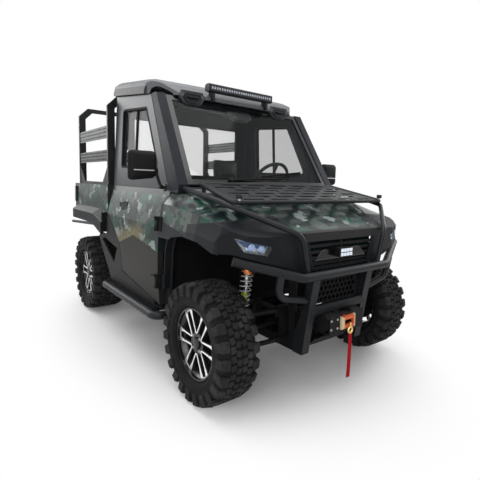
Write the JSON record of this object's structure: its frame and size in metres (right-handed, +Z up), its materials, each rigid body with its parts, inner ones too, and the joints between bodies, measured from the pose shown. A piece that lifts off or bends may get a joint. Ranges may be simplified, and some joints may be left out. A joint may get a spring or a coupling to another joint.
{
  "type": "side-by-side utility vehicle",
  "caption": "Enclosed two-seat off-road utility vehicle with tipping cargo bed, hinged doors, roof, bumper with winch, and steered wheels.",
  "frame": {"origin": "floor level under the middle of the vehicle's length and width", "axes": "+X forward, +Y to the vehicle's left, +Z up"},
  "size_m": [3.0659, 1.9, 2.0223],
  "materials": {
    "frame_black": "satin",
    "plastic_black": "matte",
    "plastic_charcoal": "matte",
    "roof_grey": "matte",
    "camo": "satin",
    "cushion": "matte",
    "window_glass": "polished",
    "lamp_glass": "polished",
    "lamp_red": "gloss",
    "cast_metal": "cast",
    "steel": "brushed",
    "fairlead_orange": "satin",
    "webbing_red": "woven",
    "rim_black": "satin",
    "tyre": "matte"
  },
  "bodies": {
    "chassis": {"chassis_frame": "frame_black", "skid_plate": "plastic_black", "cab_tub": "plastic_black", "seat_cushions": "cushion", "seat_backs": "cushion", "dashboard": "plastic_black", "steering_column": "plastic_black", "cab_frame": "frame_black", "roof_panel": "roof_grey", "light_bar": "frame_black", "cab_glass": "window_glass", "rear_panel": "plastic_black", "hood": "camo", "front_fenders": "plastic_charcoal", "door_hinges": "frame_black", "front_fascia": "plastic_charcoal", "headlamps": "lamp_glass", "mesh_screens": "frame_black", "front_bumper": "frame_black", "hood_rack": "plastic_black", "winch": "steel", "winch_fairlead": "fairlead_orange", "winch_hook": "steel", "winch_strap": "webbing_red", "drive_line": "cast_metal", "engine_block": "cast_metal", "muffler": "steel", "side_steps": "plastic_black", "lower_panels": "plastic_charcoal", "rear_hub_carriers": "frame_black", "suspension_arms": "frame_black", "shock_absorbers": "steel", "half_shafts": "frame_black"},
    "bed": {"bed_tub": "plastic_black", "bed_cage": "frame_black", "bed_flares": "plastic_black", "tail_lamps": "lamp_red"},
    "tailgate_body": {"tailgate": "camo"},
    "door_right_body": {"door_right": "camo", "door_glass_right": "window_glass", "mirror_right": "plastic_black"},
    "door_left_body": {"door_left": "camo", "door_glass_left": "window_glass", "mirror_left": "plastic_black"},
    "steering_right": {"knuckle_right": "frame_black"},
    "steering_left": {"knuckle_left": "frame_black"},
    "wheel_front_right": {"rim_front_right": "rim_black", "tyre_front_right": "tyre"},
    "wheel_front_left": {"rim_front_left": "rim_black", "tyre_front_left": "tyre"},
    "wheel_rear_right": {"rim_rear_right": "rim_black", "tyre_rear_right": "tyre"},
    "wheel_rear_left": {"rim_rear_left": "rim_black", "tyre_rear_left": "tyre"},
    "hand_wheel": {"steering_wheel": "plastic_black"}
  },
  "joints": [
    {"name": "steer_right", "type": "hinge", "parent": "chassis", "child": "steering_right", "pos_m": [1.074, -0.575, 0.343], "axis": [0, 0, 1], "range_deg": [-28, 28]},
    {"name": "steer_left", "type": "hinge", "parent": "chassis", "child": "steering_left", "pos_m": [1.074, 0.575, 0.343], "axis": [0, 0, 1], "range_deg": [-28, 28]},
    {"name": "hand_wheel_turn", "type": "hinge", "parent": "chassis", "child": "hand_wheel", "pos_m": [0.274, 0.4, 1.25], "axis": [-0.848, 0, 0.5299], "range_deg": [-360, 360]},
    {"name": "spin_front_right", "type": "hinge", "parent": "steering_right", "child": "wheel_front_right", "pos_m": [1.074, -0.686, 0.343], "axis": [0, 1, 0], "continuous": true},
    {"name": "spin_front_left", "type": "hinge", "parent": "steering_left", "child": "wheel_front_left", "pos_m": [1.074, 0.686, 0.343], "axis": [0, 1, 0], "continuous": true},
    {"name": "spin_rear_right", "type": "hinge", "parent": "chassis", "child": "wheel_rear_right", "pos_m": [-1.006, -0.652, 0.343], "axis": [0, 1, 0], "continuous": true},
    {"name": "spin_rear_left", "type": "hinge", "parent": "chassis", "child": "wheel_rear_left", "pos_m": [-1.006, 0.652, 0.343], "axis": [0, 1, 0], "continuous": true},
    {"name": "door_right_swing", "type": "hinge", "parent": "chassis", "child": "door_right_body", "pos_m": [0.584, -0.783, 0.966], "axis": [0, 0, 1], "range_deg": [0, 70]},
    {"name": "door_left_swing", "type": "hinge", "parent": "chassis", "child": "door_left_body", "pos_m": [0.584, 0.783, 0.966], "axis": [0, 0, -1], "range_deg": [0, 70]},
    {"name": "bed_tip", "type": "hinge", "parent": "chassis", "child": "bed", "pos_m": [-1.4116, 0, 0.8847], "axis": [0, -1, 0], "range_deg": [0, 40]},
    {"name": "tailgate_drop", "type": "hinge", "parent": "bed", "child": "tailgate_body", "pos_m": [-1.454, 0, 0.913], "axis": [0, -1, 0], "range_deg": [0, 90]}
  ],
  "couplings": [
    {"joint": "steer_left", "follows": "steer_right", "ratio": 1},
    {"joint": "hand_wheel_turn", "follows": "steer_right", "ratio": 12}
  ]
}
